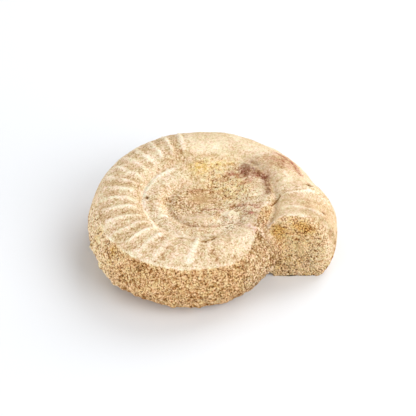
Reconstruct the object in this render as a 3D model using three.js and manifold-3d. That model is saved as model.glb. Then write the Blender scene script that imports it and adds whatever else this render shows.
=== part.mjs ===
// An ammonite fossil lying on its side: a coiled, ribbed stone, broken off square at its mouth.
// Millimetres, +Z up. The mouth opens towards -Y at the +X side, and from there the coil runs back
// anticlockwise, seen from above. The origin is on the worn flat that the stone rests on, under the
// middle of its bounding box.
import * as THREE from "three";
import { mergeVertices } from "three/addons/utils/BufferGeometryUtils.js";
import Module from "manifold-3d";

// The coil. A "turn" counts whorls back from the mouth: 0 is at the mouth, 1 is a whorl further in.
const MOUTH_PLANE_Y = -11.2; // the broken mouth is a flat face at this distance from the coil's axis
const MOUTH_ANGLE = -16; // polar angle of turn 0, in degrees
const MOUTH_FADE = 0.2; // turns over which the cross-sections swing from the mouth's plane to radial
const AXIS_HEIGHT = 10.8; // of the coil's middle plane above the worn flat
const EDGE = { atMouth: 44.3, turnIn: 28 }; // radius of the coil's outer edge at the mouth, and a turn in
const BULGE = { height: 2.7, lag: 1.2 }; // of the last whorl beyond an even spiral, mostly far from the mouth
// Where the outer edge is worn flat, in turns and millimetres.
const WORN_FLATS = [
  { turn: 0.16, reach: 0.07, depth: 2.2 },
  { turn: 0.52, reach: 0.1, depth: 1.9 },
];
const SEAM_AT_MOUTH = 24.3; // radius of the seam, where a whorl laps on to the one inside it
const GROWTH = 1.72; // how many times larger the coil is for each turn
const TURNS = 3; // turns that show before the coil is too small to tell apart
const HALF_AT_MOUTH = 14.6; // half of the whorl's thickness
const HALF_AT_CENTRE = { above: 10.2, below: 8.4 };
const HALF_DECAY = 5; // how many times less is added to the centre's thickness, for each turn inwards
const HOLLOW = { depth: 1.8, turns: [1.4, 2.2] }; // the worn middle of the coil sinks by this

// The cross-section of a whorl, in shares of its width (seam to outer edge) and of its half thickness.
const CREST = 0.32; // where the flank is highest
const UMBILICAL_POWER = 2.6; // how steeply the flank drops from there to the seam
const ROUND_POWERS = [2, 1.9]; // near the mouth it is a superellipse from the crest outwards
const SHOULDER = { at: 0.7, height: 0.77 }; // further back, a sharp shoulder stands between flank and venter
const SHOULDER_GROWS = [0.3, 0.5]; // turns between which the one becomes the other
const CHIPPED = { at: 0.15, height: 0.93 }; // the shoulder beside the mouth has broken back to this
const CHIP_GROWS = [0.86, 0.98];
const CHIP_ENDS = [1, 1.06];
const FLANK_BOW = 2.2;
const VENTER_POWERS = [1.7, 1.15];

// Ribs across the flanks, as polar angles in degrees: the last stretch to the mouth is worn smooth.
const RIB_HEIGHT = 0.9;
const WORN_SHARE = 0.4; // height left to the ribs of the underside
const RIB_POWER = 1.5; // how much narrower a rib is than the furrow beside it
const RIB_ENDS = [0.35, 0.7]; // where a rib dies out, from 0 at the crest to 1 at the outer edge
const RIBBED_TURNS = 2; // the ribs further in are worn away
const FIRST_RIB = 101.5;
const FIRST_RIB_STEP = 9.2;
const RIB_STEP_GROWTH = 1.015;
const WIDEST_RIB_STEP = 11;

// How finely the surface is faceted.
const SMOOTH_STEP = 7.6; // degrees
const SMALLEST_STEP = 0.004; // turns between two sections
const MERGE_DISTANCE = 1e-4;
const FACETS_PER_RIB = { lastWhorl: 3, insideIt: 2 };
const UMBILICAL_POINTS = 3;
const OUTER_POINTS = 7;

const PIECE = 0.5; // turns in each solid that is joined to make the coil
const LAP = 2.5; // how far a whorl's solid reaches under the seam, into the whorl inside it
const LAP_HEIGHT = 0.5; // height of that foot, as a share of the seam's
const CORE_LAP = 0.6;
const DISH = { rim: 0.97, middle: 0.86 }; // heights of the coil's centre, as shares of the half thickness
const CORE_SIDES = 24;

const { smoothstep, lerp, degToRad, radToDeg } = THREE.MathUtils;
const FULL = 360;

const seamRadius = (turn) => SEAM_AT_MOUTH * GROWTH ** -turn;
const radiusAtShare = (share, turn) => lerp(seamRadius(turn), outerRadius(turn), share);
const outward = (x) => CREST + (1 - CREST) * x; // from a share beyond the crest to a share of the width

// Half of the whorl's thickness, above or below the coil's middle plane.
function halfThickness(turn, side) {
  const centre = HALF_AT_CENTRE[side > 0 ? "above" : "below"];
  const worn = HOLLOW.depth * smoothstep(turn, ...HOLLOW.turns);
  return centre + (HALF_AT_MOUTH - centre) * HALF_DECAY ** -turn - worn;
}

const wearOf = (flat, turn) => flat.depth * Math.exp(-(((turn - flat.turn) / flat.reach) ** 2));

// Radius of the outer edge: an even spiral with a bulge and two worn flats, which shrinks evenly further in.
function outerRadius(turn) {
  if (turn >= 1) return EDGE.turnIn * GROWTH ** (1 - turn);
  const spiral = EDGE.atMouth * (EDGE.turnIn / EDGE.atMouth) ** turn;
  const bulge = BULGE.height * Math.sin(Math.PI * turn ** BULGE.lag);
  return WORN_FLATS.reduce((radius, flat) => radius - wearOf(flat, turn), spiral + bulge);
}

// The section outside its crest. u runs from 0 at the crest to 1 at the outer edge, halfway at the shoulder.
function outerProfile(u, turn) {
  const theta = (u * Math.PI) / 2;
  const round = [Math.sin(theta) ** (2 / ROUND_POWERS[0]), Math.cos(theta) ** (2 / ROUND_POWERS[1])];
  const chip = smoothstep(turn, ...CHIP_GROWS) * (1 - smoothstep(turn, ...CHIP_ENDS));
  const at = lerp(SHOULDER.at, CHIPPED.at, chip);
  const height = lerp(SHOULDER.height, CHIPPED.height, chip);
  const along = Math.min(2 * u, 1);
  const psi = Math.cos((Math.PI / 2) * Math.max(2 * u - 1, 0));
  const swell = Math.max(1 - psi ** VENTER_POWERS[0], 0) ** (1 / VENTER_POWERS[1]);
  const flank = [at * along, 1 - (1 - height) * along ** FLANK_BOW];
  const venter = [at + (1 - at) * swell, height * psi];
  const edged = u <= 0.5 ? flank : venter;
  const sharp = smoothstep(turn, ...SHOULDER_GROWS);
  return [lerp(round[0], edged[0], sharp), lerp(Math.max(round[1], 0), edged[1], sharp)];
}

// Height of a whorl's flank where the next whorl out laps on to it.
function lappedHeight(radius, turn, side) {
  const share = (radius - seamRadius(turn)) / (outerRadius(turn) - seamRadius(turn));
  const x = (share - CREST) / (1 - CREST) / SHOULDER.at;
  return halfThickness(turn, side) * (1 - (1 - SHOULDER.height) * Math.max(x, 0) ** FLANK_BOW);
}

// The ribs' polar angles.
const ribs = [FIRST_RIB];
let ribStep = FIRST_RIB_STEP;
while (ribs.at(-1) < FULL * RIBBED_TURNS) {
  ribs.push(ribs.at(-1) + ribStep);
  ribStep = Math.min(ribStep * RIB_STEP_GROWTH, WIDEST_RIB_STEP);
}

// How far a point stands up, from 0 in a furrow to 1 on a crest.
function ribAt(angle) {
  const next = ribs.findIndex((rib) => rib > angle);
  if (next < 1) return 0;
  const phase = (angle - ribs[next - 1]) / (ribs[next] - ribs[next - 1]);
  return (0.5 + 0.5 * Math.cos(2 * Math.PI * phase)) ** RIB_POWER;
}

const baseAngle = (turn) => MOUTH_ANGLE + FULL * turn;

// A point of the surface, from its radius, its turn and its height over the coil's middle plane.
function place(radius, turn, height) {
  const onMouth = radToDeg(Math.asin(Math.max(MOUTH_PLANE_Y / radius, -1))) - MOUTH_ANGLE;
  const angle = degToRad(baseAngle(turn) + onMouth * (1 - smoothstep(turn, 0, MOUTH_FADE)));
  return new THREE.Vector3(radius * Math.cos(angle), radius * Math.sin(angle), AXIS_HEIGHT + height);
}

// Half of a cross-section, from under the seam over the flank to the outer edge; side is 1 above, -1 below.
function halfSection(turn, side) {
  const seam = seamRadius(turn);
  const half = halfThickness(turn, side);
  const seamHeight = lappedHeight(seam, turn + 1, side);
  const ribHeight = RIB_HEIGHT * Math.min(GROWTH ** (1 - turn), 1) * (side > 0 ? 1 : WORN_SHARE);
  const ridge = ribHeight * ribAt(baseAngle(turn));
  const line = [place(seam - LAP, turn, side * seamHeight * LAP_HEIGHT)];
  for (let i = 0; i < UMBILICAL_POINTS; i++) {
    const t = i / UMBILICAL_POINTS;
    const height = half - (half - seamHeight) * (1 - t) ** UMBILICAL_POWER + ridge * t;
    line.push(place(radiusAtShare(CREST * t, turn), turn, side * height));
  }
  for (let i = 0; i <= OUTER_POINTS; i++) {
    const u = i / OUTER_POINTS;
    const [x, y] = outerProfile(u, turn);
    const height = half * y + ridge * (1 - smoothstep(u, ...RIB_ENDS));
    line.push(place(radiusAtShare(outward(x), turn), turn, side * height));
  }
  return line;
}

// A closed body from rings of points along the whorl, with a flat fan about a hub at each of its two ends.
function bodyOfRings(rings, hubs) {
  const size = rings[0].length;
  const points = [...rings.flat(), ...hubs];
  const [firstHub, lastHub] = [points.length - 2, points.length - 1];
  const lastRing = (rings.length - 1) * size;
  const faces = [];
  for (let k = 0; k < size; k++) {
    const next = (k + 1) % size;
    for (let start = 0; start < lastRing; start += size) {
      const [a, b, c, d] = [start + k, start + next, start + size + next, start + size + k];
      faces.push(a, b, c, a, c, d);
    }
    faces.push(firstHub, next, k, lastHub, lastRing + k, lastRing + next);
  }
  return new THREE.BufferGeometry().setFromPoints(points).setIndex(faces);
}

// The turns at which sections are taken: even steps where it is smooth, and a few to each rib.
function sectionTurns(from, to) {
  const angles = [];
  for (let angle = baseAngle(0); angle < FIRST_RIB - 1; angle += SMOOTH_STEP) angles.push(angle);
  for (let i = 0; i + 1 < ribs.length; i++) {
    const facets = FACETS_PER_RIB[ribs[i] < baseAngle(1) ? "lastWhorl" : "insideIt"];
    for (let k = 0; k < facets; k++) angles.push(lerp(ribs[i], ribs[i + 1], k / facets));
  }
  for (let angle = ribs.at(-1); angle < baseAngle(TURNS); angle += WIDEST_RIB_STEP) angles.push(angle);
  const turns = angles.map((angle) => (angle - baseAngle(0)) / FULL);
  const between = turns.filter((turn) => turn > from + SMALLEST_STEP && turn < to - SMALLEST_STEP);
  return [from, ...between, to];
}

function whorl(from, to) {
  const rings = sectionTurns(from, to).map((turn) => {
    const under = halfSection(turn, -1);
    return [...halfSection(turn, 1), ...under.slice(0, -1).reverse()];
  });
  const hubs = [from, to].map((turn) => place(radiusAtShare(CREST, turn), turn, 0));
  return bodyOfRings(rings, hubs);
}

// The coil's centre: a disc that fills the space inside the last turn, dished on both sides.
function core() {
  const radius = seamRadius(TURNS - 1) + CORE_LAP;
  const [above, below] = [1, -1].map((side) => halfThickness(TURNS, side));
  const outline = [
    [0, -below * DISH.middle],
    [radius, -below * DISH.rim],
    [radius, above * DISH.rim],
    [0, above * DISH.middle],
  ];
  const disc = new THREE.LatheGeometry(outline.map(([r, y]) => new THREE.Vector2(r, y)), CORE_SIDES);
  return disc.rotateX(Math.PI / 2).translate(0, 0, AXIS_HEIGHT);
}

// Everything under the worn flat is gone.
function belowFlat() {
  const size = 3 * EDGE.atMouth;
  return new THREE.BoxGeometry(size, size, size).translate(0, 0, -size / 2);
}

const wasm = await Module();
wasm.setup();

function solid(geometry) {
  geometry.deleteAttribute("normal");
  geometry.deleteAttribute("uv");
  const merged = mergeVertices(geometry, MERGE_DISTANCE);
  const vertProperties = new Float32Array(merged.attributes.position.array);
  const triVerts = new Uint32Array(merged.index.array);
  return new wasm.Manifold(new wasm.Mesh({ numProp: 3, vertProperties, triVerts }));
}

// The whorls are joined first, so that the faces where they meet end to end still match.
let stone = solid(whorl(0, PIECE));
for (let turn = PIECE; turn < TURNS; turn += PIECE) stone = stone.add(solid(whorl(turn, turn + PIECE)));
stone = stone.add(solid(core())).subtract(solid(belowFlat()));

const mesh = stone.getMesh();
const geometry = new THREE.BufferGeometry();
geometry.setAttribute("position", new THREE.BufferAttribute(mesh.vertProperties, 3));
geometry.setIndex(new THREE.BufferAttribute(mesh.triVerts, 1));
geometry.computeBoundingBox();
const middle = geometry.boundingBox.getCenter(new THREE.Vector3());
geometry.translate(-middle.x, -middle.y, 0);
geometry.computeVertexNormals();

const limestone = new THREE.MeshStandardMaterial({ color: 0xd9c29c, roughness: 0.95, metalness: 0 });
const ammonite = new THREE.Mesh(geometry, limestone);
ammonite.name = "ammonite";

const fossil = new THREE.Group();
fossil.add(ammonite);
export default fossil;
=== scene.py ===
"""The looks of an ammonite fossil: one fine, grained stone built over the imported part's solid.

The coil is worked out in millimetres about its own axis, with z measured up from the surface that the stone
rests on. It is turned into metres in the part's frame when the mesh is made. A "turn" counts whorls back from
the broken mouth: 0 at the mouth, 1 a whorl further in.
"""
import math

import bmesh
import bpy
import numpy as np
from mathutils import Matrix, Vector
from mathutils.kdtree import KDTree


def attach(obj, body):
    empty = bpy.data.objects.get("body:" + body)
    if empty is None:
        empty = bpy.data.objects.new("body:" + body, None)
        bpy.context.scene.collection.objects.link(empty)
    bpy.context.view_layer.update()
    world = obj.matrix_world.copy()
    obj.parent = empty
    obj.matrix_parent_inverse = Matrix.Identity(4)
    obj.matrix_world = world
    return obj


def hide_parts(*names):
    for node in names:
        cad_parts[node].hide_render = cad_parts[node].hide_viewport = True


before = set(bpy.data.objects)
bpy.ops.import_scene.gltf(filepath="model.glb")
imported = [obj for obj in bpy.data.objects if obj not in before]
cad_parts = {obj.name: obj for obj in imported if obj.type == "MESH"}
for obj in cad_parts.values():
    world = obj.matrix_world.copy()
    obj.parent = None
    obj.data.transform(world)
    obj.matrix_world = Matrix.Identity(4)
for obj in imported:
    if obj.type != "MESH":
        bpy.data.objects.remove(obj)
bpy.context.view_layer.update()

MM = 0.001

# --------------------------------------------------------------------------------------------------
# The coil's shape
# --------------------------------------------------------------------------------------------------
# The broken mouth is flat, at one y. The coil's cross-sections swing round to it within MOUTH_FADE of a turn.
MOUTH_PLANE_Y = -11.2
MOUTH_ANGLE = -16.0
MOUTH_FADE = 0.2
AXIS_HEIGHT = 10.8

# Radii of the outer edge, and of the seam where a whorl meets the next one in.
EDGE_AT_MOUTH = 44.3
EDGE_A_TURN_IN = 28.0
BULGE_HEIGHT = 2.7
BULGE_LAG = 1.2
WORN_FLATS = [(0.16, 0.07, 2.2), (0.52, 0.1, 1.9)]  # where the edge is worn: turn, reach in turns, depth
SEAM_AT_MOUTH = 24.3
GROWTH = 1.72
TURNS = 3.0

# Half the thickness, above (1) and below (-1) the middle plane. The inner whorls are worn hollow.
HALF_AT_MOUTH = 14.6
HALF_AT_CENTRE = {1: 10.2, -1: 8.4}
HALF_DECAY = 5.0
HOLLOW_DEPTH = 1.8
HOLLOW_TURNS = (1.4, 2.2)

# A whorl's section, as shares of its width and half thickness. It rises from the seam to a crest, and falls
# from there to the outer edge: round near the mouth, and with a shoulder further back.
CREST = 0.32
UMBILICAL_POWER = 2.6
ROUND_POWERS = (2.0, 1.9)
SHOULDER_AT = 0.7
SHOULDER_HEIGHT = 0.77
SHOULDER_GROWS = (0.3, 0.5)
CHIPPED_AT = 0.15
CHIPPED_HEIGHT = 0.93
CHIP_GROWS = (0.86, 0.98)
CHIP_ENDS = (1.0, 1.06)
FLANK_BOW = 2.2
VENTER_POWERS = (1.7, 1.15)

# Ribs: places and steps in degrees back along the coil, widths as shares of a step, relief in millimetres.
FIRST_RIB = 101.5
FIRST_RIB_STEP = 9.2
RIB_STEP_GROWTH = 1.015
WIDEST_RIB_STEP = 11.0
RIB_LEAN = 8.0
RIB_SHARES = (0.12, 0.2)
RIB_RELIEF = 0.55
INNER_RIB_STRENGTH = 0.7
RIB_STRENGTHS = [
    *(1, 0.9, 0.95, 0.6, 0.75, 0.85, 0.7, 0.9, 0.95, 1),
    *(1, 0.9, 0.85, 0.8, 0.75, 0.4, 1.0, 0.45, 0.2),
]

# The bodies that are joined into the coil: pieces of whorl that reach into the next whorl in, and a core.
LAP = 2.5
PIECE = 0.5
STEPS_PER_TURN = 240
UMBILICAL_POINTS = 10
OUTER_POINTS = 36
CORE_LAP = 0.6
CORE_HOLE = 0.001
CORE_STEP = 5
DISH_RIM = 0.97
DISH_MIDDLE = 0.86

# The fine mesh
VOXEL = 0.38 * MM
MOST_TRIANGLES = 198000
UNDERSIDE_NORMAL = -0.35  # faces that look down more than this are the underside

# Matrix that fills the umbilicus
MATRIX_LEVEL_IN = 19.2
MATRIX_LEVEL_OUT = 23.6
MATRIX_REACH = (9.0, 24.0)
MATRIX_FILL = 0.85

# The worn outer edge of the broken mouth
BEVEL_REACH = (0.7, 1.02)
BEVEL_DEPTH = 3.0
BEVEL_RISE = (3.0, 8.0)


def smoothstep(x, low, high):
    t = np.clip((x - low) / (high - low), 0.0, 1.0)
    return t * t * (3.0 - 2.0 * t)


def lerp(a, b, t):
    return a + (b - a) * t


def seam_radius(turn):
    return SEAM_AT_MOUTH * GROWTH ** -turn


def outer_radius(turn):
    """An even spiral with a bulge and two worn flats, which shrinks evenly further in."""
    last_whorl = np.clip(turn, 0.0, 1.0)
    spiral = EDGE_AT_MOUTH * (EDGE_A_TURN_IN / EDGE_AT_MOUTH) ** last_whorl
    inside = spiral + BULGE_HEIGHT * np.sin(np.pi * last_whorl**BULGE_LAG)
    for at, reach, depth in WORN_FLATS:
        inside = inside - depth * np.exp(-(((last_whorl - at) / reach) ** 2))
    return np.where(turn > 1.0, EDGE_A_TURN_IN * GROWTH ** (1.0 - turn), inside)


def half_thickness(turn, side):
    """Height of a whorl's crest over the middle plane, above it for side 1 and below it for side -1."""
    centre = HALF_AT_CENTRE[side]
    worn = HOLLOW_DEPTH * smoothstep(turn, *HOLLOW_TURNS)
    return centre + (HALF_AT_MOUTH - centre) * HALF_DECAY ** -turn - worn


def lapped_height(radius, turn, side):
    """Height of a whorl's flank where the next whorl out laps on to it."""
    share = (radius - seam_radius(turn)) / (outer_radius(turn) - seam_radius(turn))
    x = np.maximum((share - CREST) / (1 - CREST) / SHOULDER_AT, 0.0)
    return half_thickness(turn, side) * (1 - (1 - SHOULDER_HEIGHT) * x**FLANK_BOW)


def shoulder(turn):
    """Place and height of the edge between flank and venter, as shares beyond the crest."""
    chip = smoothstep(turn, *CHIP_GROWS) * (1 - smoothstep(turn, *CHIP_ENDS))
    return lerp(SHOULDER_AT, CHIPPED_AT, chip), lerp(SHOULDER_HEIGHT, CHIPPED_HEIGHT, chip)


def outer_profile(u, turn):
    """The section outside its crest. u is 0 at the crest, 0.5 at the shoulder and 1 at the outer edge."""
    theta = u * math.pi / 2
    round_x = np.sin(theta) ** (2 / ROUND_POWERS[0])
    round_y = np.maximum(np.cos(theta), 0.0) ** (2 / ROUND_POWERS[1])
    at, height = shoulder(turn)
    along = np.minimum(2 * u, 1.0)
    psi = np.cos(math.pi / 2 * np.maximum(2 * u - 1, 0.0))
    swell = np.maximum(1 - psi ** VENTER_POWERS[0], 0.0) ** (1 / VENTER_POWERS[1])
    edged_x = np.where(u <= 0.5, at * along, at + (1 - at) * swell)
    edged_y = np.where(u <= 0.5, 1 - (1 - height) * along**FLANK_BOW, height * psi)
    sharp = smoothstep(turn, *SHOULDER_GROWS)
    return lerp(round_x, edged_x, sharp), lerp(round_y, edged_y, sharp)


def place(radius, turn, height):
    """Points of the surface, from their radius, turn and height over the coil's middle plane."""
    on_mouth = np.degrees(np.arcsin(np.maximum(MOUTH_PLANE_Y / radius, -1.0))) - MOUTH_ANGLE
    angle = np.radians(MOUTH_ANGLE + 360.0 * turn + on_mouth * (1 - smoothstep(turn, 0.0, MOUTH_FADE)))
    return np.stack([radius * np.cos(angle), radius * np.sin(angle), AXIS_HEIGHT + height], axis=-1)


def coil_centre():
    """Middle of the coil's outline in plan, from its axis. The part's frame has its origin there."""
    turns = np.linspace(0.0, 1.0, STEPS_PER_TURN + 1)
    outline = place(outer_radius(turns), turns, 0.0 * turns)
    middle = (outline.min(axis=0) + outline.max(axis=0)) / 2
    return middle * (1.0, 1.0, 0.0)


COIL_CENTRE = coil_centre()


def half_section(turn, side):
    """Half of each cross-section, from under the seam to the outer edge, with one row for each turn."""
    turn = turn[:, None]
    seam = seam_radius(turn)
    width = outer_radius(turn) - seam
    half = half_thickness(turn, side)
    seam_height = lapped_height(seam, turn + 1, side)
    t = np.linspace(0, 1, UMBILICAL_POINTS, endpoint=False)[None]
    inner_height = half - (half - seam_height) * (1 - t) ** UMBILICAL_POWER
    x, y = outer_profile(np.linspace(0, 1, OUTER_POINTS)[None], turn)
    umbilical = seam + width * CREST * t
    outer = seam + width * (CREST + (1 - CREST) * x)
    radius = np.concatenate([seam - LAP, umbilical, outer], axis=1)
    height = np.concatenate([seam_height * 0.5, inner_height, half * y], axis=1)
    return place(radius, np.broadcast_to(turn, radius.shape), side * height)


def ring_body(rings, hubs):
    """Vertices and faces of a closed body made of rings of points, with a fan about a hub at each end."""
    count, size = rings.shape[:2]
    points = np.concatenate([rings.reshape(-1, 3), hubs])
    first_hub = count * size
    last_ring = (count - 1) * size
    faces = []
    for k in range(size):
        after = (k + 1) % size
        for start in range(0, last_ring, size):
            faces.append((start + k, start + after, start + size + after, start + size + k))
        faces.append((first_hub, after, k))
        faces.append((first_hub + 1, last_ring + k, last_ring + after))
    return points, faces


def whorl_body(start, end):
    """A closed piece of whorl between two turns."""
    turns = np.linspace(start, end, int(round((end - start) * STEPS_PER_TURN)) + 1)
    above = half_section(turns, 1)
    below = half_section(turns, -1)[:, -2::-1]
    ends = np.array([start, end])
    middle = seam_radius(ends) + (outer_radius(ends) - seam_radius(ends)) * CREST
    return ring_body(np.concatenate([above, below], axis=1), place(middle, ends, np.zeros(2)))


def core_body():
    """The disc that fills the space inside the last turn, dished on both sides."""
    radius = seam_radius(TURNS - 1) + CORE_LAP
    profile = [(CORE_HOLE, -DISH_MIDDLE), (radius, -DISH_RIM), (radius, DISH_RIM), (CORE_HOLE, DISH_MIDDLE)]
    points = []
    for angle in np.radians(np.arange(0, 360, CORE_STEP)):
        for r, share in profile:
            height = share * half_thickness(TURNS, 1 if share > 0 else -1)
            points.append((r * math.cos(angle), r * math.sin(angle), AXIS_HEIGHT + height))
    size = len(profile)
    faces = []
    for start in range(0, len(points), size):
        after = (start + size) % len(points)
        for k in range(size):
            beside = (k + 1) % size
            faces.append((start + k, after + k, after + beside, start + beside))
    return points, faces


# --------------------------------------------------------------------------------------------------
# Noise
# --------------------------------------------------------------------------------------------------
# Large whole numbers that scatter the noise, and the largest that 32 bits hold.
SCATTER_CELLS = np.array([374761393, 668265263, 2147483647], dtype=np.uint32)
SCATTER_SEEDS = 974634777
SCATTER_BITS = np.array([1274126177, 2246822519], dtype=np.uint32)
LARGEST = 2**32 - 1

OCTAVE_FADE = 0.55
OCTAVE_SEED_STEP = 17


def hashed(cells, seed):
    """A number from 0 to 1 for each whole-numbered cell."""
    c = cells.astype(np.int64).astype(np.uint32) * SCATTER_CELLS
    h = c[..., 0] + c[..., 1] + c[..., 2]
    h = h + np.uint32(seed * SCATTER_SEEDS % (LARGEST + 1))
    h = (h ^ (h >> np.uint32(13))) * SCATTER_BITS[0]
    h = (h ^ (h >> np.uint32(16))) * SCATTER_BITS[1]
    h = h ^ (h >> np.uint32(13))
    return h.astype(np.float64) / LARGEST


def soft_noise(points, size, seed):
    """Smooth noise from -1 to 1 whose features are about size across."""
    p = points / size
    cell = np.floor(p)
    t = p - cell
    t = t * t * t * (t * (t * 6 - 15) + 10)
    total = 0.0
    for dx in (0, 1):
        for dy in (0, 1):
            for dz in (0, 1):
                weight = np.abs(1 - dx - t[:, 0]) * np.abs(1 - dy - t[:, 1]) * np.abs(1 - dz - t[:, 2])
                total = total + weight * hashed(cell + (dx, dy, dz), seed)
    return 2 * total - 1


def rough_noise(points, size, seed, octaves=3):
    """Soft noise with finer and fainter noise added to it."""
    total = 0.0
    weight = 1.0
    for k in range(octaves):
        total = total + weight * soft_noise(points, size / 2**k, seed + OCTAVE_SEED_STEP * k)
        weight *= OCTAVE_FADE
    return total


def grains(points, size, seed):
    """Distance to the nearest of many scattered points about size apart, as a share of size."""
    p = points / size
    cell = np.floor(p)
    nearest = np.full(len(points), 9.0)
    for dx in (-1, 0, 1):
        for dy in (-1, 0, 1):
            for dz in (-1, 0, 1):
                at = cell + (dx, dy, dz)
                jitter = np.stack([hashed(at, seed + k) for k in range(3)], axis=-1)
                gap = at + 0.15 + 0.7 * jitter - p
                nearest = np.minimum(nearest, np.einsum("ij,ij->i", gap, gap))
    return np.sqrt(nearest)


# --------------------------------------------------------------------------------------------------
# The fine mesh, and where each of its points lies on the coil
# --------------------------------------------------------------------------------------------------
def rib_angles():
    """Where the ribs' crests lie, in degrees back along the coil."""
    angles = [FIRST_RIB]
    step = FIRST_RIB_STEP
    while angles[-1] < 360.0 * TURNS:
        angles.append(angles[-1] + step)
        step = min(step * RIB_STEP_GROWTH, WIDEST_RIB_STEP)
    return np.array(angles)


RIBS = rib_angles()


def coil_bodies():
    """The overlapping closed bodies that make up the coil."""
    bodies = [core_body()]
    for k in range(int(TURNS / PIECE)):
        bodies.append(whorl_body(k * PIECE, (k + 1) * PIECE))
    return bodies


def joined(bodies):
    """One closed, evenly fine mesh of all the bodies together."""
    points, faces = [], []
    for body_points, body_faces in bodies:
        first = sum(len(p) for p in points)
        points.append(body_points)
        faces += [tuple(v + first for v in face) for face in body_faces]
    coarse = bpy.data.meshes.new("coarse_coil")
    coarse.from_pydata((np.concatenate(points) * MM).tolist(), [], faces)
    holder = bpy.data.objects.new("coarse_coil", coarse)
    remesh = holder.modifiers.new("join", "REMESH")
    remesh.mode = "VOXEL"
    remesh.voxel_size = VOXEL
    return modified(holder)


def modified(holder):
    """The mesh that an object's modifiers make. The object itself is removed."""
    bpy.context.scene.collection.objects.link(holder)
    graph = bpy.context.evaluated_depsgraph_get()
    mesh = bpy.data.meshes.new_from_object(holder.evaluated_get(graph))
    before = holder.data
    bpy.data.objects.remove(holder)
    bpy.data.meshes.remove(before)
    return mesh


def thinned(mesh):
    """The mesh with fewer faces on its underside, so that it stays within MOST_TRIANGLES."""
    holder = bpy.data.objects.new("thinned_coil", mesh)
    normals = np.empty(len(mesh.vertices) * 3)
    mesh.vertex_normals.foreach_get("vector", normals)
    low = np.flatnonzero(normals[2::3] < UNDERSIDE_NORMAL).tolist()
    group = holder.vertex_groups.new(name="underside")
    group.add(low, 1.0, "REPLACE")
    decimate = holder.modifiers.new("thin", "DECIMATE")
    decimate.vertex_group = group.name
    decimate.ratio = MOST_TRIANGLES / (2 * len(mesh.polygons))
    return modified(holder)


def outer_shell(mesh):
    """The mesh without the small closed hollows inside it: only what is joined to its outermost vertex."""
    work = bmesh.new()
    work.from_mesh(mesh)
    start = max(work.verts, key=lambda vert: vert.co.x)
    reached = {start}
    waiting = [start]
    while waiting:
        vert = waiting.pop()
        for edge in vert.link_edges:
            other = edge.other_vert(vert)
            if other not in reached:
                reached.add(other)
                waiting.append(other)
    inside = [vert for vert in work.verts if vert not in reached]
    bmesh.ops.delete(work, geom=inside, context="VERTS")
    work.to_mesh(mesh)
    work.free()
    return mesh


def nearest_turns(points):
    """The turn of the coil's surface at each point, from the nearest of many known ones."""
    turns = np.linspace(0, TURNS, int(TURNS * STEPS_PER_TURN / 2) + 1)
    known = [half_section(turns, side)[:, 1::2] for side in (1, -1)]
    known = np.concatenate(known, axis=1)
    known_turn = np.repeat(turns, known.shape[1])
    known = known.reshape(-1, 3)
    tree = KDTree(len(known))
    for i, spot in enumerate(known):
        tree.insert(spot, i)
    tree.balance()
    near = np.array([tree.find(spot)[1] for spot in points])
    step = np.arctan2(points[:, 1], points[:, 0]) - np.arctan2(known[near, 1], known[near, 0])
    step = (step + np.pi) % (2 * np.pi) - np.pi
    return np.clip(known_turn[near] + step / (2 * np.pi), 0.0, TURNS)


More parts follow.
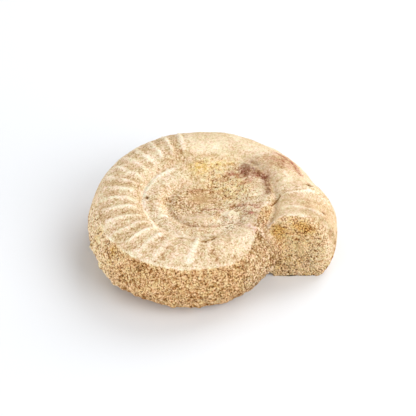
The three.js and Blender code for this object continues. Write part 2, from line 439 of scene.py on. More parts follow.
class Spots:
    """Every vertex of the joined coil, with where it lies on the coil, in millimetres and degrees."""

    def __init__(self, mesh):
        flat = np.empty(len(mesh.vertices) * 3)
        mesh.vertices.foreach_get("co", flat)
        self.point = flat.reshape(-1, 3) / MM
        mesh.vertex_normals.foreach_get("vector", flat)
        self.normal = flat.reshape(-1, 3).copy()
        self.x, self.y, self.z = self.point.T
        self.radius = np.hypot(self.x, self.y)
        self.angle = np.degrees(np.arctan2(self.y, self.x)) % 360.0
        self.above = smoothstep(self.z - AXIS_HEIGHT, -1.5, 1.5)
        self.turn = nearest_turns(self.point)
        self.along = self.turn * 360.0 + MOUTH_ANGLE
        seam = seam_radius(self.turn)
        self.share = (self.radius - seam) / (outer_radius(self.turn) - seam)
        edge_at, _ = shoulder(self.turn)
        self.beyond = (self.share - CREST) / (1 - CREST) / edge_at  # 0 at the crest, 1 at the shoulder
        facing = smoothstep(-self.normal[:, 1], 0.8, 0.97) * smoothstep(self.radius, 23.0, 24.5)
        self.mouth = facing * smoothstep(-np.abs(self.y - MOUTH_PLANE_Y), -0.8, -0.3)

    def sector(self, start, end, soft=6.0):
        """1 between two polar angles, fading over soft degrees at each end."""
        middle, half = (start + end) / 2, (end - start) / 2
        gap = np.abs((self.angle - middle + 180.0) % 360.0 - 180.0)
        return 1 - smoothstep(gap, half - soft, half + soft)

    def line(self, points, width):
        """1 on a line through points given as (angle, radius), falling to 0 at about twice its width."""
        spots = [polar(*point) for point in points]
        best = np.full(len(self.x), 1e9)
        for (ax, ay), (bx, by) in zip(spots, spots[1:]):
            dx, dy = bx - ax, by - ay
            t = np.clip(((self.x - ax) * dx + (self.y - ay) * dy) / (dx * dx + dy * dy), 0.0, 1.0)
            best = np.minimum(best, np.hypot(self.x - ax - t * dx, self.y - ay - t * dy))
        return np.exp(-((best / width) ** 2)) * self.above

    def spot(self, angle, radius, length, width=None, lean=0.0):
        """1 at a place, falling to 0 around it. lean turns its length from the x axis."""
        width = width or length
        c, s = math.cos(math.radians(lean)), math.sin(math.radians(lean))
        x, y = polar(angle, radius)
        dx, dy = self.x - x, self.y - y
        return np.exp(-(((dx * c + dy * s) / length) ** 2) - ((dy * c - dx * s) / width) ** 2) * self.above

    def on_mouth(self, x, z, length, width=None, lean=0.0):
        """A spot on the broken mouth, at a place across it and a height over the floor."""
        width = width or length
        c, s = math.cos(math.radians(lean)), math.sin(math.radians(lean))
        dx, dz = self.x - x, self.z - z
        return np.exp(-(((dx * c + dz * s) / length) ** 2) - ((dz * c - dx * s) / width) ** 2) * self.mouth

    def sum_spots(self, weighted):
        """The sum of spots given as (weight, spot)."""
        return sum(weight * self.spot(*spot) for weight, spot in weighted)

    def sum_lines(self, weighted):
        """The sum of lines given as (weight, points, width)."""
        return sum(weight * self.line(points, width) for weight, points, width in weighted)

    def uneven(self, middle, swing, size, seed):
        """A strength that wanders about its middle by up to its swing."""
        return middle + swing * soft_noise(self.point, size, seed)


def polar(angle, radius):
    """x and y of a place on the coil."""
    return radius * math.cos(math.radians(angle)), radius * math.sin(math.radians(angle))


def ribs_at(spots):
    """How far each point stands up, from 0 in a furrow to 1 on a rib's crest, ribs of uneven strength."""
    wander = 1.3 * soft_noise(spots.point, 6.0, 5)
    lean = RIB_LEAN * (spots.share - 0.45) * smoothstep(spots.turn, 0.3, 0.5)
    phase_at = spots.along + wander + lean
    after = np.clip(np.searchsorted(RIBS, phase_at), 1, len(RIBS) - 1)
    phase = (phase_at - RIBS[after - 1]) / (RIBS[after] - RIBS[after - 1])
    nearest = np.where(phase > 0.5, after, after - 1)
    strengths = np.full(len(RIBS), INNER_RIB_STRENGTH)
    strengths[: len(RIB_STRENGTHS)] = RIB_STRENGTHS
    cells = np.stack([nearest, nearest * 0, nearest * 0], axis=-1)
    width = lerp(*RIB_SHARES, hashed(cells, 31)) * (1 + 0.25 * soft_noise(spots.point, 3.5, 32))
    crest = np.exp(-((np.minimum(phase, 1 - phase) / width) ** 2))
    strength = strengths[nearest] * (1 + 0.3 * soft_noise(spots.point, 3.0, 33))
    return np.where(phase_at > RIBS[0] - 5.0, crest * strength, 0.0)


# --------------------------------------------------------------------------------------------------
# Marks on the stone
# --------------------------------------------------------------------------------------------------
ARC_STEP = 10.0  # degrees between the points of a mark that bends with the coil


def arc(start, end):
    """Points along the coil between two places, close enough together to bend with it."""
    steps = int(math.ceil(abs(end[0] - start[0]) / ARC_STEP))
    return [(lerp(start[0], end[0], i / steps), lerp(start[1], end[1], i / steps)) for i in range(steps + 1)]


def shoulder_arc(start, end, outside):
    """Points along the last whorl's shoulder, a little outside it."""
    points = []
    for angle in np.arange(start, end + ARC_STEP, ARC_STEP):
        turn = (angle - MOUTH_ANGLE) / 360.0
        share = CREST + (1 - CREST) * SHOULDER_AT
        points.append((angle, lerp(seam_radius(turn), float(outer_radius(turn)), share) + outside))
    return points


# Lines on the upper side, through places given as (polar angle in degrees, radius).
CRACK_Y = 0.2
CRACK = [(352, 23), (2, 25.5)]
CREASE = [(2, 25.5), (4, 31)]
SHOULDER_RIDGE = shoulder_arc(193, 293, 0.7)
SEAM_RIDGE = arc((119, 18), (205, 17.5)) + [(235, 21.5)]
SEAM_LINE = arc((250, 18.5), (277, 20.5)) + [(291, 17.5)]
SEAM_LOBES = arc((236, 15), (275, 17.5)) + [(287, 15.5)]
JUNCTION_RIDGE = [(332, 24.5), (330, 27.5)]
LIP_BAND = [(2, 26), (2, 31), (5, 37)]
LIP_BAND_LOWER = [(347, 27), (348, 35), (350, 39)]
PINK_EDGE = [(42, 33), (32, 35), (21, 35)]
RED_STREAK = [(327, 14.5), (319, 19), (319, 23)]
PINK_STREAK = [(346, 15), (337, 19.5)]
WHITE_STREAK = [(320, 20), (320, 22.5), (325, 24.5)]
STAIN_CORE = [(42, 20.5), (28, 23.5)]
STAIN_TAIL = [(27, 23.5), (6, 22)]
DARK_STREAKS = [(6, 10.5), (357, 15.5), (349, 19)]
HOLLOW_RIM = arc((110, 8), (60, 9))
HOLLOW_LINE = [(0, 1), (356, 5.5), (350, 7.5)]
HOLLOW_EDGE = arc((245, 9), (300, 11.5))
INNER_STREAKS = [(210, 12), (207, 14)]

# Spots on the upper side, as (polar angle, radius, length, width, lean). The last two may be left out.
INNERMOST_WHORL = (265, 5.5, 4.5, 2.5, 6)
DEEPEST = (82, 5, 5, 2.5, -6)
CRUMBLY_SPOT = (150, 8, 3.5, 3)
ROUND_PIT = (171, 17, 0.6)
SLIT_PIT = (10, 35.5, 1.1, 0.6, 20)
LIP_PIT = (352, 39.5, 0.5)
LIP_SWELL = (3, 40.5, 4)
BACK_DIP = (21, 37.5, 5.5)
NEXT_TO_MOUTH = (348, 26, 2.6, 4)
FRONT_LOBE = (300, 24, 7, 5)

# Spots on the broken mouth, as (distance across it, height over the floor, length, width, lean).
MOUTH_HOLLOWS = [(25, 18.5, 1.8, 3), (33, 20, 3.4, 2, -25)]
MOUTH_GOLD = (30, 20, 8, 4)
MOUTH_PALE = (25.5, 22.5, 1.7, 1)
MOUTH_PALE_HALO = (25.5, 22.5, 2.2, 1.4)
MOUTH_DULL = (36.5, 18, 2, 3)

# Sectors, as (first polar angle, last polar angle, softness).
WALL_LEFT = (165, 215, 20)
WALL_CHIPPED = (192, 290, 12)
WALL_RIGHT = (300, 333, 8)
WALL_RIGHT_SHADE = (298, 333, 10)
FRONT_FLANK = (222, 280, 20)
MATRIX_SECTOR = (-62, 82, 14)
MATRIX_FILL_SECTOR = (-55, 92, 16)
BACK_SECTOR = (8, 98, 5)
YELLOW_SECTOR = (15, 110, 15)

# How pale the stone is, from 0 dark to 1 white.
BASE_TONE = 0.605
PIT_TONE = 0.1
# Per-part tones. The back's and the lip's are lowered partly as painted shade, against the key light that
# falls on them; the mouth's is raised partly as painted light, where the lamps reach it little.
PART_TONES = {"back": 0.06, "lip": -0.05, "hollow": 0.06, "matrix": 0.26, "wall": 0.11, "mouth": 0.42}
MARK_TONES = {
    "wavy": 0.16,
    "lip_bands": 0.2,
    "junction": 0.12,
    "streak": 0.4,
    "lobes": 0.09,
    "rim": 0.22,
    "seam_line": -0.3,
    "dark": -0.22,
    "stained": -0.13,
    "mouth_hollows": -0.16,
    "crack": -0.5,
}
SPOT_TONES = [
    (0.04, (91, 16.5, 2.8, 2.4)),
    (0.16, (79, 25, 4, 2.6)),
    (0.16, (128, 25, 4.5, 2.6, -40)),
    (0.12, (195, 13, 2, 3.5)),
    (0.35, (344, 9, 1.9, 1.4)),
    # Painted light: the lip's left end next to the mouth is made paler, against the shade where it turns away
    # to the left.
    (0.16, NEXT_TO_MOUTH),
    (0.10, FRONT_LOBE),
    (0.03, INNERMOST_WHORL),
    (-0.2, DEEPEST),
    (-0.13, (32, 31.5, 6, 4, -35)),
    (-0.09, (166, 6.5, 4, 2.4)),
]
LINE_TONES = [(-0.16, HOLLOW_RIM, 0.7), (-0.12, HOLLOW_LINE, 0.4), (-0.16, CREASE, 0.35)]

# How far marks stand out of the stone, in millimetres.
MARK_RELIEF = {
    "wavy": 0.4,
    "shoulder_bead": 0.35,
    "seam_bead_and_highlight": 0.3,
    "junction": 0.25,
    "lip_bands": 0.25,
    "lobes": 0.25,
    "streak": 0.3,
    "dark": -0.2,
    "seam_line": -0.25,
    "crack": -0.55,
    "pit": -0.7,
    "mouth_hollows": -0.45,
}
SPOT_RELIEF = [(0.7, LIP_SWELL), (-1.2, BACK_DIP), (0.9, INNERMOST_WHORL), (-0.7, DEEPEST)]
BROAD_RELIEF = 0.26
LUMP_RELIEF = 0.13
WALL_LUMP_RELIEF = 0.2
CHIP_RELIEF = 0.75
LIP_RELIEF = 0.2
FURROW_RELIEF = 0.2  # depth of a furrow, as a share of a rib's height

# Crumbly grains: their sizes and relief, in millimetres.
LARGE_GRAIN = 1.8
SMALL_GRAIN = 1.1
LOOSE_GRAIN = 1.2
LARGE_GRAIN_RELIEF = 0.24
SMALL_GRAIN_RELIEF = 0.34
LOOSE_GRAIN_RELIEF = 0.14
PITTED_RELIEF = 0.3

# Stains: lines as (strength, line, width), and spots as (strength, spot).
RED_SMEARED_LINES = [
    (0.5, STAIN_CORE, 1.7),
    (0.12, STAIN_TAIL, 1.1),
    (0.6, PINK_STREAK, 0.7),
    (0.6, RED_STREAK, 0.8),
    (0.4, DARK_STREAKS, 1.0),
]
RED_SMEARED_SPOTS = [
    (0.06, (36, 21.5, 7, 4, -30)),
    (0.6, (52, 17, 2.4, 1.1)),
    (0.6, (29, 18.5, 3, 1.2, -35)),
    (0.5, (32, 31.5, 6, 3.6, -35)),
]
RED_LINES = [(0.5, HOLLOW_LINE, 0.5), (0.3, HOLLOW_RIM, 0.6), (0.4, HOLLOW_EDGE, 0.5), (0.75, PINK_EDGE, 0.9)]
RED_BETWEEN_WAVES = [(0.25, (348, 17, 6.5, 6)), (0.45, (45, 16, 7, 5))]
PURPLE_SMEARED_SPOTS = [(0.95, (45, 21.5, 4.4, 3, 20)), (0.4, (36, 23, 7, 4, -30))]
PURPLE_TAIL = [(0.9, STAIN_TAIL, 1.2)]
PURPLE_SPOTS = [
    (0.45, (328, 23.5, 2.2, 3)),
    (0.3, (312, 25.5, 3, 3)),
    (0.4, (347, 36, 3, 1.6)),
    (0.25, INNERMOST_WHORL),
]
YELLOW_SPOTS = [(0.8, (91, 16.5, 2.6, 2.2)), (0.3, (70, 19, 8, 2.4))]
GOLD_SPOTS = [(0.15, FRONT_LOBE), (0.9, (214, 33.5, 1.2)), (0.4, (199, 33.5, 2))]
GOLD_NEXT_TO_MOUTH = [(0.3, NEXT_TO_MOUTH)]
WARM_PARTS = {"wall": 1, "mouth": 0.85, "hollow": 0.2, "matrix": 0.25, "under": 1}


def regions(spots):
    """How much each point belongs to each part of the stone's surface."""
    ragged = 0.025 * soft_noise(spots.point, 3.0, 6) + 0.02 * soft_noise(spots.point, 1.4, 7)
    past_shoulder = smoothstep(spots.beyond + ragged, 1.05, 1.10)
    edged = smoothstep(spots.turn, 0.46, 0.6)
    outermost = smoothstep(spots.turn, 1.04, 0.99)
    blurred = spots.radius + 60 * ragged
    part = {}
    part["mouth"] = spots.mouth * (1 - bevel_share(spots))
    part["wall"] = past_shoulder * edged * outermost
    part["inner"] = smoothstep(spots.turn, 0.985, 1.03) * spots.above
    part["hollow"] = (1 - smoothstep(blurred, 7.5, 11.0)) * spots.above
    part["matrix"] = spots.sector(*MATRIX_SECTOR) * (1 - smoothstep(blurred, 16.0, 23.0)) * spots.above
    part["matrix"] *= smoothstep(blurred, 7.0, 10.0)
    worn = 3.5 * soft_noise(spots.point, 7.0, 8) + 1.2 * rough_noise(spots.point, 2.2, 9, 2)
    part["under"] = (1 - smoothstep(spots.z - AXIS_HEIGHT + worn, -2.5, 2.0)) * (1 - spots.mouth)
    part["flank"] = outermost * (1 - part["wall"]) * (1 - part["mouth"]) * (1 - part["under"])
    part["back"] = part["flank"] * spots.sector(*BACK_SECTOR) * smoothstep(blurred, 17.0, 23.0)
    ahead_of_crack = smoothstep(CRACK_Y + 0.25 - spots.y, 0.0, 0.5)
    part["lip"] = part["flank"] * ahead_of_crack * smoothstep(spots.radius, 22.5, 24.0) * (spots.x > 0)
    part["lip"] *= 1 - smoothstep(spots.turn, 0.12, 0.2)
    return part


def bevel_share(spots):
    """1 at the outer edge of the broken mouth, where the edge is worn off, falling to 0 on the face."""
    width = outer_radius(0.0) - SEAM_AT_MOUTH
    middle = (SEAM_AT_MOUTH + width * CREST) * math.cos(math.radians(MOUTH_ANGLE))
    across = (spots.x - middle) / (width * (1 - CREST))
    up = (spots.z - AXIS_HEIGHT) / HALF_AT_MOUTH
    from_middle = np.hypot(np.maximum(across, 0.0), up)
    near_face = 1 - smoothstep(spots.y - MOUTH_PLANE_Y, 3.0, 6.0)
    share = smoothstep(from_middle, *BEVEL_REACH) * smoothstep(across, 0.15, 0.6) * near_face
    share = share * (spots.y > MOUTH_PLANE_Y - 1.0)
    return share * smoothstep(spots.z, *BEVEL_RISE)


def granules(spots, part):
    """Relief of crumbly grains, with how coarse they are and where they are pitted."""
    drift = 0.35 * np.stack([soft_noise(spots.point, 1.6, seed) for seed in (11, 12, 13)], axis=-1)
    smooth_floor = np.maximum(spots.spot(*INNERMOST_WHORL), spots.spot(*DEEPEST))
    large = 0.5 - grains(spots.point + drift, LARGE_GRAIN, 14)
    small = 0.45 - grains(spots.point + drift, SMALL_GRAIN, 15)
    loose = rough_noise(spots.point, LOOSE_GRAIN, 16, 2)
    coarse = part["wall"] + part["mouth"] + 0.7 * part["under"] + 0.6 * part["hollow"]
    coarse = np.maximum(coarse, 0.85 * part["matrix"]) * (1 - 0.3 * part["wall"] * spots.sector(*WALL_RIGHT))
    coarse = np.maximum(coarse, 0.35 * part["inner"]) + 0.25 * spots.spot(*CRUMBLY_SPOT)
    smooth = np.clip(part["back"] * 0.8 + part["lip"], 0, 1)
    coarse = np.clip(np.maximum(coarse, 0.3 - 0.16 * smooth) * (1 - 0.95 * smooth_floor), 0, 1)
    height = LARGE_GRAIN_RELIEF * large + SMALL_GRAIN_RELIEF * small + LOOSE_GRAIN_RELIEF * loose
    pitted = smoothstep(soft_noise(spots.point, 1.9, 17), 0.45, 0.75)
    return coarse * (height - PITTED_RELIEF * pitted), coarse, pitted


def fill_umbilicus(spots, part):
    """Heights with matrix in the grooves between the inner whorls, most of all towards the mouth."""
    level = MATRIX_LEVEL_IN + (MATRIX_LEVEL_OUT - MATRIX_LEVEL_IN) * smoothstep(spots.radius, *MATRIX_REACH)
    level = level + 0.4 * soft_noise(spots.point, 4.5, 21)
    share = np.clip(0.55 + spots.sector(*MATRIX_FILL_SECTOR), 0, 1) * MATRIX_FILL
    share = share * smoothstep(spots.radius, 7.5, 10.5) * (1 - smoothstep(spots.radius, 22.5, 25.5))
    share = share * spots.above * (1 - spots.mouth)
    raised = np.maximum(level - spots.z, 0.0)
    lowered = np.maximum(spots.z - level, 0.0) * part["inner"]
    return spots.z + share * raised - 0.4 * share * lowered


def find_ribs(spots, part):
    """The ribs' crests, where ribs can be, how worn they are, and the three together."""
    crest = ribs_at(spots)
    ribbed = smoothstep(spots.share, 0.06, 0.24) * (1 - smoothstep(spots.beyond, 0.82, 0.98))
    ribbed = ribbed * (1 - part["mouth"]) * (1 - smoothstep(spots.turn, 1.9, 2.3))
    faint = smoothstep(spots.turn, 0.68, 0.73) * (1 - smoothstep(spots.turn, 0.75, 0.78))
    fading = (1 - 0.75 * smoothstep(spots.turn, 0.83, 0.9)) * (1 - 0.35 * faint)
    ribs = crest * ribbed * np.where(spots.turn < 1, fading, 0.3) * (1 - 0.7 * part["matrix"])
    return {"crest": crest, "ribbed": ribbed, "fading": fading, "ribs": ribs}


def find_marks(spots, part):
    """How strongly each mark shows at each point."""
    mark = find_ribs(spots, part)
    waves = spots.point * (0.3, 1.0, 0.4) + soft_noise(spots.point, 4.0, 28)[:, None] * (0.0, 1.0, 0.0)
    mark["wavy"] = rough_noise(waves, 1.0, 27, 2) * part["matrix"]
    mark["lumps"] = rough_noise(spots.point, 3.4, 23, 2)
    mark["shoulder_bead"] = spots.line(SHOULDER_RIDGE, 0.33) * spots.uneven(0.85, 0.4, 2.5, 24)
    mark["seam_bead_and_highlight"] = spots.line(SEAM_RIDGE, 0.7) * spots.uneven(0.85, 0.4, 3.0, 29)
    mark["streak"] = np.maximum(spots.line(WHITE_STREAK, 0.5), spots.line(INNER_STREAKS, 0.5))
    mark["stained"] = np.maximum(spots.line(STAIN_CORE, 1.4), spots.line(STAIN_TAIL, 1.0))
    dark_streaks = spots.line(DARK_STREAKS, 0.6) * spots.uneven(1.0, 1.0, 2.2, 35)
    mark["dark"] = 0.6 * np.maximum(dark_streaks, spots.line(HOLLOW_EDGE, 0.5))
    mark["seam_line"] = spots.line(SEAM_LINE, 0.4) * spots.uneven(0.8, 0.6, 2.4, 37)
    mark["lobes"] = spots.line(SEAM_LOBES, 1.3) * spots.uneven(0.7, 0.8, 2.6, 38)
    mark["crack"] = spots.line(CRACK, 0.24)
    mark["junction"] = spots.line(JUNCTION_RIDGE, 0.7)
    mark["lip_bands"] = np.maximum(spots.line(LIP_BAND, 0.6), spots.line(LIP_BAND_LOWER, 0.6))
    mark["rim"] = mouth_rim(spots) * spots.uneven(0.55, 0.6, 2.4, 30) * (1 - 0.8 * bevel_share(spots))
    pit = np.maximum(spots.spot(*ROUND_PIT), spots.spot(*SLIT_PIT))
    mark["pit"] = np.maximum(pit, 0.7 * spots.spot(*LIP_PIT))
    mark["mouth_hollows"] = np.maximum(*(spots.on_mouth(*hollow) for hollow in MOUTH_HOLLOWS))
    return mark


def mouth_rim(spots):
    """The thin shell's edge all round the upper part of the broken mouth."""
    near = smoothstep(-np.abs(spots.y - MOUTH_PLANE_Y), -1.2, -0.4)
    outward = smoothstep(1 - np.abs(spots.normal[:, 1]), 0.05, 0.3)
    return near * outward * smoothstep(spots.radius, 23.5, 24.5)


def weighed(weights, values):
    """The sum of the named values, each times its weight."""
    return sum(weight * values[name] for name, weight in weights.items())


def relief(spots, part, mark, grain):
    """How far each point stands out of the smooth coil."""
    broad = soft_noise(spots.point, 9.0, 22)
    chips = rough_noise(spots.point, 2.6, 36, 2)
    lump_relief = LUMP_RELIEF + WALL_LUMP_RELIEF * part["wall"]
    furrows = FURROW_RELIEF * mark["ribbed"] * (spots.turn < 1) * (1 - part["back"])
    lift = BROAD_RELIEF * broad * (1 - 0.5 * part["mouth"])
    lift += lump_relief * mark["lumps"] * (1 - 0.6 * part["lip"])
    lift += RIB_RELIEF * (mark["ribs"] - furrows)
    lift += CHIP_RELIEF * chips * part["wall"] * spots.sector(*WALL_CHIPPED)
    lift += grain + LIP_RELIEF * part["lip"]
    return lift + weighed(MARK_RELIEF, mark) + spots.sum_spots(SPOT_RELIEF)


def displaced(spots, part, lift):
    """The points of the real surface: matrix filled in, the mouth's edge worn back, and the relief added."""
    point = spots.point.copy()
    point[:, 2] = fill_umbilicus(spots, part)
    bevel = bevel_share(spots)
    worn_back = np.maximum(point[:, 1], MOUTH_PLANE_Y + BEVEL_DEPTH * bevel**1.5)
    point[:, 1] = np.where(bevel > 0, worn_back, point[:, 1])
    point = point + spots.normal * lift[:, None]
    point[:, 2] = np.maximum(point[:, 2], 0.0)
    return point


def tones(spots, part, mark):
    """How pale each point is, with some painted light and shade among it."""
    patches = soft_noise(spots.point, 5.5, 25)
    cream = smoothstep(soft_noise(spots.point, 4.0, 26), 0.15, 0.6)
    past_first_rib = smoothstep(spots.along, RIBS[0] - 8, RIBS[0]) * (spots.turn < 1)
    furrows = (1 - mark["crest"]) * mark["ribbed"] * mark["fading"] * past_first_rib
    tone = BASE_TONE + 0.05 * patches + 0.03 * mark["lumps"]
    # The rib crests are paler stone; the furrows are darker, partly tan stone and partly painted shade beside
    # each crest.
    tone += 0.22 * np.clip(mark["ribs"] * 1.3, 0, 1) - 0.06 * furrows
    # The seam bead's paleness is a painted highlight: it stands in for the narrow wall beside the seam, lit
    # from the right.
    tone += np.maximum(0.28 * mark["shoulder_bead"], 0.32 * mark["seam_bead_and_highlight"])
    tone += (0.10 * cream + 0.05 * spots.sector(*FRONT_FLANK)) * part["flank"]
    tone += 0.03 * part["inner"] * (1 - part["hollow"])
    # The left wall is made paler as painted light, standing in for light that the lamps on the right don't
    # give it.
    tone += (0.26 * spots.sector(*WALL_LEFT) - 0.15 * spots.sector(*WALL_RIGHT_SHADE)) * part["wall"]
    tone += 0.2 * spots.on_mouth(*MOUTH_PALE) - 0.06 * spots.on_mouth(*MOUTH_DULL)
    tone += weighed(PART_TONES, part) + spots.sum_spots(SPOT_TONES) + spots.sum_lines(LINE_TONES)
    tone += weighed(MARK_TONES, mark)
    return lerp(tone, PIT_TONE, mark["pit"])


def stains(spots, part, mark):
    """How strong each stain is at each point."""
    smeared = 1.0 + 0.8 * rough_noise(spots.point * (1.0, 0.7, 1.0), 2.0, 34, 3)
    between_waves = smoothstep(-mark["wavy"], 0.05, 0.4)
    red = (spots.sum_lines(RED_SMEARED_LINES) + spots.sum_spots(RED_SMEARED_SPOTS)) * smeared
    red += spots.sum_lines(RED_LINES) + spots.sum_spots(RED_BETWEEN_WAVES) * between_waves
    purple = spots.sum_spots(PURPLE_SMEARED_SPOTS) + spots.sum_lines(PURPLE_TAIL)
    purple = purple * (0.4 + 0.6 * smeared) + spots.sum_spots(PURPLE_SPOTS) + mark["pit"]
    yellow = spots.sum_spots(YELLOW_SPOTS) + 0.12 * part["back"]
    yellow += 0.25 * spots.sector(*YELLOW_SECTOR) * (part["matrix"] + 0.5 * part["inner"])
    gold = mark["mouth_hollows"] + 0.2 * spots.on_mouth(*MOUTH_GOLD) + 0.18 * part["mouth"]
    gold += 0.12 * part["matrix"] + spots.sum_spots(GOLD_NEXT_TO_MOUTH)
    gold *= 1 - 0.9 * spots.on_mouth(*MOUTH_PALE_HALO)
    gold += spots.sum_spots(GOLD_SPOTS) + 0.1 * part["wall"]
    warm = np.clip(weighed(WARM_PARTS, part), 0, 1)
    cooler = 0.7 * spots.sector(*WALL_RIGHT) + 0.4 * spots.sector(*WALL_LEFT)
    warm *= 1 - cooler * (1 - part["mouth"])
    return {"red": red, "purple": purple, "yellow": yellow, "gold": gold, "warm": warm}


def carve(spots):
    """Where the vertices lie on the stone's real surface, and what the shader needs to know at each."""
    part = regions(spots)
    grain, coarse, pitted = granules(spots, part)
    mark = find_marks(spots, part)
    point = displaced(spots, part, relief(spots, part, mark, grain))
    coarser = 1 + 0.45 * part["mouth"] + 0.4 * part["wall"] * spots.sector(*WALL_LEFT)
    notes = {"tone": tones(spots, part, mark), "coarse": coarse * coarser, "pitted": pitted}
    notes.update(stains(spots, part, mark))
    return point, notes


# --------------------------------------------------------------------------------------------------
# Materials
# --------------------------------------------------------------------------------------------------
def srgb(r, g, b):
    """A colour given as a screen shows it, out of 255, as the shaders want it."""
    linear = []
    for value in (r / 255, g / 255, b / 255):
        linear.append(value / 12.92 if value <= 0.04045 else ((value + 0.055) / 1.055) ** 2.4)
    return (*linear, 1.0)


class Paint:
    """A material whose nodes are added one call at a time. Each call returns the new node's output."""

    def __init__(self, name, roughness, gloss):
        self.material = bpy.data.materials.new(name)
        self.material.use_nodes = True
        self.nodes = self.material.node_tree.nodes
        self.links = self.material.node_tree.links
        self.shader = self.nodes["Principled BSDF"]
        self.shader.inputs["Roughness"].default_value = roughness
        self.shader.inputs["Specular IOR Level"].default_value = gloss
        self.place = self.nodes.new("ShaderNodeTexCoord").outputs["Object"]

    def put(self, socket, value):
        if isinstance(value, bpy.types.NodeSocket):
            self.links.new(value, socket)
        else:
            socket.default_value = value

    def attribute(self, name):
        node = self.nodes.new("ShaderNodeAttribute")
        node.attribute_name = name
        return node.outputs["Fac"]

    def noise(self, size, detail=2.0, roughness=0.5):
        node = self.nodes.new("ShaderNodeTexNoise")
        self.put(node.inputs["Vector"], self.place)
        node.inputs["Scale"].default_value = 1 / (size * MM)
        node.inputs["Detail"].default_value = detail
        node.inputs["Roughness"].default_value = roughness
        return node.outputs["Fac"]

    def cells(self, size, output):
        node = self.nodes.new("ShaderNodeTexVoronoi")
        self.put(node.inputs["Vector"], self.place)
        node.inputs["Scale"].default_value = 1 / (size * MM)
        return node.outputs[output]

    def math(self, operation, a, b, clamp=False):
        node = self.nodes.new("ShaderNodeMath")
        node.operation = operation
        node.use_clamp = clamp
        self.put(node.inputs[0], a)
        self.put(node.inputs[1], b)
        return node.outputs[0]

    def spread(self, value, low, high, to_low=0.0, to_high=1.0):
        """value brought from the range low..high to another one, and kept in it."""
        node = self.nodes.new("ShaderNodeMapRange")
        self.put(node.inputs["Value"], value)
        for name, number in (("From Min", low), ("From Max", high), ("To Min", to_low), ("To Max", to_high)):
            node.inputs[name].default_value = number
        return node.outputs["Result"]

    def ramp(self, value, stops):
        node = self.nodes.new("ShaderNodeValToRGB")
        self.put(node.inputs["Fac"], value)
        elements = node.color_ramp.elements
        for index, (at, colour) in enumerate(stops):
            element = elements[index] if index < 2 else elements.new(at)
            element.position = at
            element.color = colour
        return node.outputs["Color"]

    def blend(self, kind, factor, a, b):
        node = self.nodes.new("ShaderNodeMix")
        node.data_type = "RGBA"
        node.blend_type = kind
        self.put(node.inputs[0], factor)
        self.put(node.inputs[6], a)
        self.put(node.inputs[7], b)
        return node.outputs[2]

    def bump(self, height, depth, strength):
        node = self.nodes.new("ShaderNodeBump")
        node.inputs["Distance"].default_value = depth * MM
        node.inputs["Strength"].default_value = strength
        self.put(node.inputs["Height"], height)
        self.put(self.shader.inputs["Normal"], node.outputs["Normal"])


# Sizes of the limestone's markings, in millimetres.
GRAIN_SIZE = 0.66
DUST_SIZE = 0.32
SPECK_SIZE = 0.5
PALE_SPECK_SIZE = 0.6
RUST_SIZE = 0.8
STAIN_BREAK_SIZE = 1.1
HUE_SIZE = 1.7
HOLE_SPACING = 1.9
MOTTLE_SIZE = 2.6

# From its darkest tone to its palest. The ramp starts from the first two, and the others go between them.
STONE_RAMP = [
    (0.0, srgb(92, 62, 32)),
    (1.0, srgb(255, 251, 236)),
    (0.25, srgb(160, 116, 68)),
    (0.5, srgb(213, 185, 147)),
    (0.7, srgb(237, 220, 195)),
]
CAST_RAMP = [(0.0, srgb(244, 246, 229)), (1.0, srgb(255, 244, 242))]
CAST_STRENGTH = 0.7
RUST_COLOUR = srgb(228, 190, 140)

# Each stain's attribute, its colour, and how much of it is left where it is thinnest.
STAINS = (
    ("red", srgb(198, 132, 130), 0.25),
    ("purple", srgb(182, 162, 158), 0.3),
    ("yellow", srgb(250, 233, 156), 0.25),
    ("gold", srgb(248, 230, 178), 0.5),
    ("warm", srgb(244, 225, 196), 0.8),
)
MOST_STAIN = 1.2

# How much each marking adds to the tone or takes from it.
GRAIN_TONE = 0.28
GRAIN_EDGE_TONE = 0.28
DUST_TONE = 0.42
PALE_SPECK_TONE = 0.16
SPECK_TONE = 0.36
MOTTLE_TONE = 0.09
HOLE_TONE = 0.3
PITTED_TONE = 0.12
GRAIN_STRENGTHS = (0.2, 2.55)  # on the smoothest stone and on the coarsest
COARSEST = 1.5
BUMP_DEPTH = 0.28
BUMP_STRENGTH = 0.7


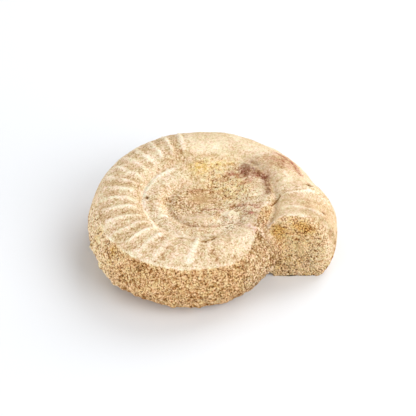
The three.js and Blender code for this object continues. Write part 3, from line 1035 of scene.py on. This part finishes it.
def limestone():
    """Grained stone. Its paleness, coarseness and stains come from the values that carve works out."""
    paint = Paint("limestone", 0.92, 0.15)
    tone = paint.attribute("tone")
    coarse = paint.attribute("coarse")

    # Each grain has its own tone, and is darker towards its edges. Between them are specks and holes.
    own = paint.spread(paint.cells(GRAIN_SIZE, "Color"), 0.0, 1.0, -0.5, 0.5)
    edges = paint.spread(paint.cells(GRAIN_SIZE, "Distance"), 0.15, 0.75, 0.5, -0.7)
    dust = paint.spread(paint.noise(DUST_SIZE, 2.0, 0.7), 0.3, 0.7, -0.5, 0.5)
    mottle = paint.spread(paint.noise(MOTTLE_SIZE, 3.0, 0.6), 0.3, 0.7, -0.5, 0.5)
    holes = paint.spread(paint.cells(HOLE_SPACING, "Distance"), 0.12, 0.34, 1.0, 0.0)
    specks = paint.spread(paint.noise(SPECK_SIZE, 2.0, 0.6), 0.56, 0.64, 0.0, 1.0)
    pale = paint.spread(paint.noise(PALE_SPECK_SIZE, 2.0, 0.6), 0.57, 0.66, 0.0, 1.0)
    darker_edges = paint.math("MULTIPLY", edges, GRAIN_EDGE_TONE)
    grain = paint.math("ADD", paint.math("MULTIPLY", own, GRAIN_TONE), darker_edges)
    grain = paint.math("ADD", grain, paint.math("MULTIPLY", dust, DUST_TONE))
    grain = paint.math("ADD", grain, paint.math("MULTIPLY", pale, PALE_SPECK_TONE))
    grain = paint.math("SUBTRACT", grain, paint.math("MULTIPLY", specks, SPECK_TONE))
    amount = paint.spread(coarse, 0.0, COARSEST, *GRAIN_STRENGTHS)
    shade = paint.math("MULTIPLY", grain, amount)
    shade = paint.math("ADD", shade, paint.math("MULTIPLY", mottle, MOTTLE_TONE))
    coarse_holes = paint.math("MULTIPLY", holes, coarse)
    shade = paint.math("SUBTRACT", shade, paint.math("MULTIPLY", coarse_holes, HOLE_TONE))
    pitted = paint.math("MULTIPLY", paint.attribute("pitted"), PITTED_TONE)
    shade = paint.math("SUBTRACT", shade, pitted)
    shade = paint.math("ADD", shade, tone)
    colour = paint.ramp(shade, STONE_RAMP)
    broken = paint.spread(paint.noise(STAIN_BREAK_SIZE, 4.0, 0.7), 0.35, 0.62, 0.0, 1.0)
    for name, stain, least in STAINS:
        patchy = paint.spread(broken, 0.0, 1.0, least, MOST_STAIN)
        amount = paint.math("MULTIPLY", paint.attribute(name), patchy, True)
        colour = paint.blend("MULTIPLY", amount, colour, stain)
    hue = paint.spread(paint.noise(HUE_SIZE, 2.0, 0.6), 0.4, 0.6, 0.0, 1.0)
    colour = paint.blend("MULTIPLY", CAST_STRENGTH, colour, paint.ramp(hue, CAST_RAMP))
    rusty = paint.spread(paint.noise(RUST_SIZE, 2.0, 0.6), 0.52, 0.66, 0.0, 0.5)
    rust = paint.math("MULTIPLY", rusty, paint.attribute("warm"))
    colour = paint.blend("MULTIPLY", rust, colour, RUST_COLOUR)
    paint.put(paint.shader.inputs["Base Color"], colour)
    height = paint.math("ADD", paint.math("MULTIPLY", edges, coarse), paint.math("MULTIPLY", dust, 0.5))
    paint.bump(height, BUMP_DEPTH, BUMP_STRENGTH)
    return paint.material


def plain(name, colour, roughness):
    """A material with one colour."""
    paint = Paint(name, roughness, 0.2)
    paint.put(paint.shader.inputs["Base Color"], colour)
    return paint.material


# --------------------------------------------------------------------------------------------------
# The stone
# --------------------------------------------------------------------------------------------------
def build_stone():
    """The one fine mesh that stands in for the part's solid."""
    mesh = outer_shell(thinned(joined(coil_bodies())))
    mesh.name = "ammonite_stone"
    spots = Spots(mesh)
    point, notes = carve(spots)
    mesh.vertices.foreach_set("co", ((point - COIL_CENTRE) * MM).ravel())
    for name, values in notes.items():
        made = mesh.attributes.new(name, "FLOAT", "POINT")
        made.data.foreach_set("value", np.ascontiguousarray(values, dtype=np.float32))
    mesh.shade_smooth()
    mesh.materials.append(limestone())
    stone = bpy.data.objects.new("ammonite_stone", mesh)
    bpy.context.scene.collection.objects.link(stone)
    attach(stone, "root")
    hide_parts("ammonite")


build_stone()


# --------------------------------------------------------------------------------------------------
# Floor, light and camera
# --------------------------------------------------------------------------------------------------
FLOOR_REACH = 3.0  # metres
FLOOR_COLOUR = srgb(233, 235, 238)
DOME_STRENGTH = 0.47


def build_floor():
    mesh = bpy.data.meshes.new("studio_floor")
    sides = ((-1, -1), (1, -1), (1, 1), (-1, 1))
    corners = [(x * FLOOR_REACH, y * FLOOR_REACH, 0) for x, y in sides]
    mesh.from_pydata(corners, [], [(0, 1, 2, 3)])
    mesh.materials.append(plain("studio_floor", FLOOR_COLOUR, 0.95))
    floor = bpy.data.objects.new("studio_floor", mesh)
    bpy.context.scene.collection.objects.link(floor)


def softbox(name, azimuth, elevation, distance, size, power):
    """A round soft light, in metres, that looks at the stone. Its azimuth is turned from +X."""
    a, e = math.radians(azimuth), math.radians(elevation)
    data = bpy.data.lights.new(name, "AREA")
    data.shape = "DISK"
    data.size = size
    data.energy = power
    lamp = bpy.data.objects.new(name, data)
    lamp.location = distance * Vector((math.cos(e) * math.cos(a), math.cos(e) * math.sin(a), math.sin(e)))
    lamp.rotation_euler = (-lamp.location).to_track_quat("-Z", "Y").to_euler()
    bpy.context.scene.collection.objects.link(lamp)


world = bpy.data.worlds.new("studio")
world.use_nodes = True
world.node_tree.nodes["Background"].inputs["Color"].default_value = (1, 1, 1, 1)
world.node_tree.nodes["Background"].inputs["Strength"].default_value = DOME_STRENGTH
bpy.context.scene.world = world
build_floor()
softbox("key", azimuth=50, elevation=40, distance=0.8, size=0.75, power=4.5)
softbox("side", azimuth=-35, elevation=34, distance=0.8, size=0.75, power=4.8)
softbox("fill", azimuth=208, elevation=9, distance=0.8, size=0.4, power=4.2)

# The camera looks down on the stone from the front, along +Y. DISTANCE is how far it is from the point it
# looks at, and VIEW_WIDTH is how much the picture shows there, both in millimetres.
ELEVATION = math.radians(40.5)
DISTANCE = 1560.0
VIEW_WIDTH = 133.12
SENSOR = 36.0
FAR_CLIP = 20.0  # metres
LOOKS_AT = (2.7, 9.3, 10.9)  # on the coil

target = Vector((np.array(LOOKS_AT) - COIL_CENTRE) * MM)
camera_data = bpy.data.cameras.new("camera")
camera_data.sensor_width = SENSOR
camera_data.lens = SENSOR * DISTANCE / VIEW_WIDTH
camera_data.clip_end = FAR_CLIP
camera = bpy.data.objects.new("camera", camera_data)
camera.location = target + DISTANCE * MM * Vector((0, -math.cos(ELEVATION), math.sin(ELEVATION)))
camera.rotation_euler = (target - camera.location).to_track_quat("-Z", "Y").to_euler()
bpy.context.scene.collection.objects.link(camera)
bpy.context.scene.camera = camera
bpy.context.scene.view_settings.view_transform = "Standard"
